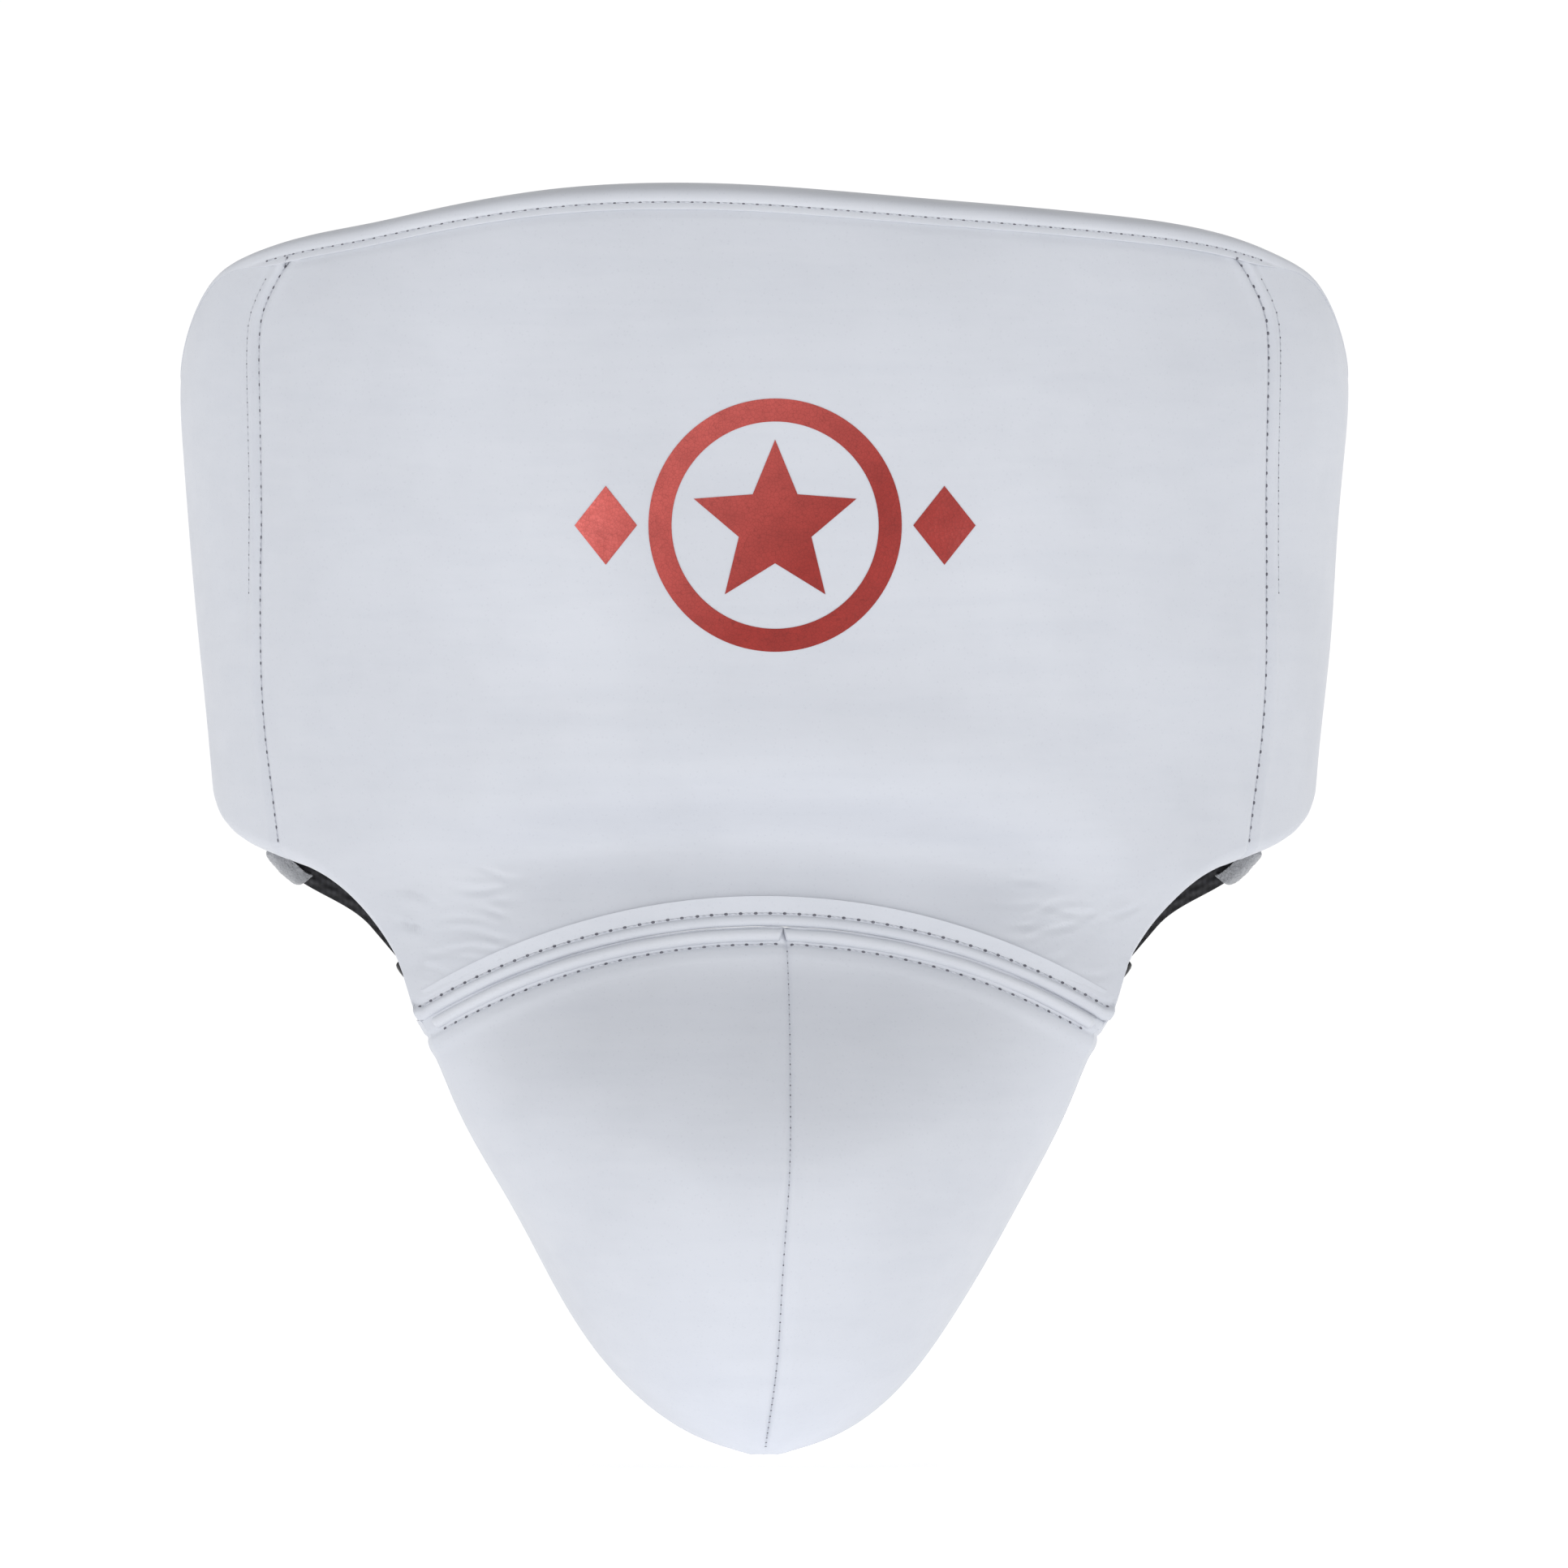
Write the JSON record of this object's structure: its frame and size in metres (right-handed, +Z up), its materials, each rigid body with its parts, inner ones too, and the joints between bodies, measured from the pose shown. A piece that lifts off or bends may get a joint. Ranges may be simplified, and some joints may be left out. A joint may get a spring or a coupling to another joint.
{
  "type": "groin protector",
  "caption": "Padded leather boxing groin protector: belly and hip apron, hard cup below an arched seam, wide elastic back belt and leg straps.",
  "frame": {"origin": "centre of the waist opening at the height of the waist belt's middle", "axes": "+Z up along the wearer's body, -Y out of the front panel, +X to the wearer's left"},
  "size_m": [0.3608, 0.2805, 0.3878],
  "materials": {
    "white_leather": "smooth, satin, fine grain",
    "lining": "matte black water-repellent lining cloth",
    "foam": "matte closed-cell foam",
    "hard_shell": "moulded polypropylene",
    "elastic": "woven black elastic webbing",
    "grey_pile": "brushed loop pile",
    "hook": "moulded hook tape",
    "slider_plastic": "black acetal",
    "thread": "bonded polyester thread",
    "foil_print": "red metallic foil print"
  },
  "bodies": {
    "apron": {"top_cap": "white_leather", "front_panel": "white_leather", "front_panel_fold": "white_leather", "side_panel_left": "white_leather", "side_panel_right": "white_leather", "apron_lining": "lining", "lining_fold": "lining", "abdominal_foam": "foam", "hip_foam_left": "foam", "hip_foam_right": "foam", "belt_anchor_left": "elastic", "belt_anchor_right": "elastic", "strap_tab_left": "grey_pile", "strap_tab_right": "grey_pile", "leg_strap_left": "elastic", "leg_strap_right": "elastic"},
    "cup": {"cup_cover_left": "white_leather", "cup_cover_right": "white_leather", "cup_padding": "foam", "cup_shell": "hard_shell", "cup_liner": "lining", "rim_cushion": "lining", "tail_tongue": "white_leather", "arch_seam_welt": "white_leather"},
    "belt_left": {"waist_belt_left": "elastic", "loop_patch": "grey_pile"},
    "belt_right": {"waist_belt_right": "elastic", "hook_patch": "hook", "pull_tab": "white_leather"},
    "slider_left": {"strap_slider_left": "slider_plastic"},
    "slider_right": {"strap_slider_right": "slider_plastic"}
  },
  "joints": [
    {"name": "cup_fold", "type": "hinge", "parent": "apron", "child": "cup", "pos_m": [0, -0.104, -0.112], "axis": [1, 0, 0], "range_deg": [-20, 12], "stiffness_Nm_per_rad": 2, "springref_deg": -2.01, "deforming": ["front_panel_fold", "lining_fold", "leg_strap_left", "leg_strap_right"]},
    {"name": "belt_right_swing", "type": "hinge", "parent": "apron", "child": "belt_right", "pos_m": [-0.1378, 0.066, 0], "axis": [0, 0, 1], "range_deg": [0, 70]},
    {"name": "belt_left_swing", "type": "hinge", "parent": "apron", "child": "belt_left", "pos_m": [0.1296, 0.066, 0], "axis": [0, 0, 1], "range_deg": [-28, 0]},
    {"name": "slider_left_slide", "type": "slide", "parent": "apron", "child": "slider_left", "axis": [-0.5828, 0.4226, -0.6941], "range_m": [-0.018, 0]},
    {"name": "slider_right_slide", "type": "slide", "parent": "apron", "child": "slider_right", "axis": [0.5828, 0.4226, -0.6941], "range_m": [-0.018, 0]}
  ],
  "couplings": [
    {"joint": "belt_left_swing", "follows": "belt_right_swing", "ratio": -0.4}
  ]
}
